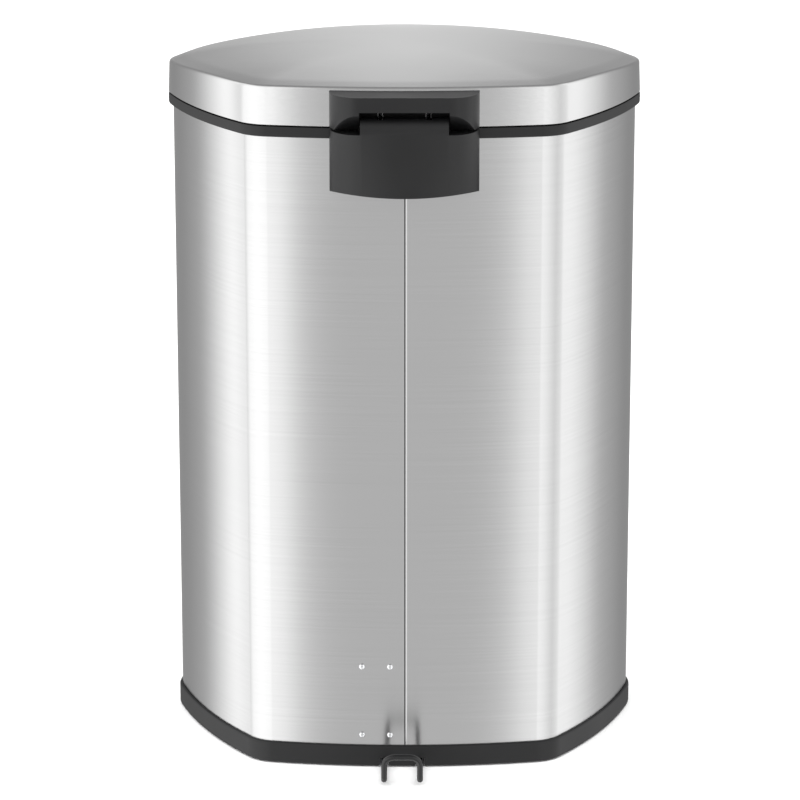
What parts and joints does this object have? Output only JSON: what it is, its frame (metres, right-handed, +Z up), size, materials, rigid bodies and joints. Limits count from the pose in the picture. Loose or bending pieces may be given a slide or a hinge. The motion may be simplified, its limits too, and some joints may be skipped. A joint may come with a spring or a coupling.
{
  "type": "pedal trash can",
  "caption": "Bow-fronted stainless pedal bin: black base, collar and rear hinge, lift-out bucket, push rod, soft-close damper and a rear floor hoop.",
  "frame": {"origin": "on the floor, below the middle of the overall box of the object", "axes": "+Z up, -Y towards the pedal, +Y towards the hinge, +X to the right of someone at the pedal"},
  "size_m": [0.41, 0.4316, 0.6072],
  "materials": {
    "brushed_stainless": "fine brushed stainless sheet with a clear coat",
    "black_moulded_plastic": "satin moulded ABS or PP",
    "grey_moulded_plastic": "moulded acetal",
    "grey_bucket_plastic": "injection moulded polypropylene",
    "black_rubber": "moulded rubber",
    "black_coated_wire": "dipped black vinyl coat on steel wire",
    "zinc_plated_steel": "bright zinc plate"
  },
  "bodies": {
    "bail": {"bail_handle": "zinc_plated_steel"},
    "can": {"base_moulding": "black_moulded_plastic", "bracket_rivet_1": "zinc_plated_steel", "bracket_rivet_2": "zinc_plated_steel", "bracket_rivet_3": "zinc_plated_steel", "bracket_rivet_4": "zinc_plated_steel", "clamp_screw_1": "zinc_plated_steel", "clamp_screw_2": "zinc_plated_steel", "damper_bracket": "zinc_plated_steel", "damper_cylinder": "grey_moulded_plastic", "foot_back_left": "black_rubber", "foot_back_right": "black_rubber", "foot_front_left": "black_rubber", "foot_front_right": "black_rubber", "hinge_housing": "black_moulded_plastic", "hinge_pin": "zinc_plated_steel", "hoop_clamp": "zinc_plated_steel", "housing_screw_1": "zinc_plated_steel", "housing_screw_2": "zinc_plated_steel", "lid_buffer_front": "black_rubber", "lid_buffer_left": "black_rubber", "lid_buffer_right": "black_rubber", "outer_shell": "brushed_stainless", "pivot_rod": "zinc_plated_steel", "rear_hoop": "black_coated_wire", "top_collar": "black_moulded_plastic"},
    "lid": {"cover_screw_1": "zinc_plated_steel", "cover_screw_2": "zinc_plated_steel", "cover_screw_3": "zinc_plated_steel", "cover_screw_4": "zinc_plated_steel", "hinge_bracket": "zinc_plated_steel", "hinge_cover": "black_moulded_plastic", "lid_liner": "black_moulded_plastic", "lid_skin": "brushed_stainless"},
    "push_rod": {"damper_link": "grey_moulded_plastic", "damper_piston": "zinc_plated_steel", "push_rod": "zinc_plated_steel", "rod_end": "grey_moulded_plastic"},
    "bucket": {"inner_bucket": "grey_bucket_plastic"},
    "pedal": {"pedal_lever": "zinc_plated_steel", "pedal_pad": "black_rubber", "pedal_plate": "brushed_stainless", "pedal_rivet_1": "zinc_plated_steel", "pedal_rivet_2": "zinc_plated_steel"}
  },
  "joints": [
    {"name": "lid_hinge", "type": "hinge", "parent": "can", "child": "lid", "pos_m": [0, 0.19305, 0.565], "axis": [-1, 0, 0], "range_deg": [0, 75]},
    {"name": "pedal_hinge", "type": "hinge", "parent": "can", "child": "pedal", "pos_m": [0, -0.06385, 0.009], "axis": [1, 0, 0], "range_deg": [0, 5.93]},
    {"name": "rod_slide", "type": "slide", "parent": "can", "child": "push_rod", "axis": [0, 0, 1], "range_m": [0, 0.02253]},
    {"name": "bucket_lift", "type": "slide", "parent": "can", "child": "bucket", "axis": [0, 0, 1], "range_m": [0, 0.006]},
    {"name": "bail_swing", "type": "hinge", "parent": "bucket", "child": "bail", "pos_m": [0, -0.00487, 0.5656], "axis": [-1, 0, 0], "range_deg": [0, 3]}
  ],
  "couplings": [
    {"joint": "pedal_hinge", "follows": "lid_hinge", "ratio": 0.078946},
    {"joint": "rod_slide", "follows": "lid_hinge", "m_per_rad": 0.017207}
  ]
}
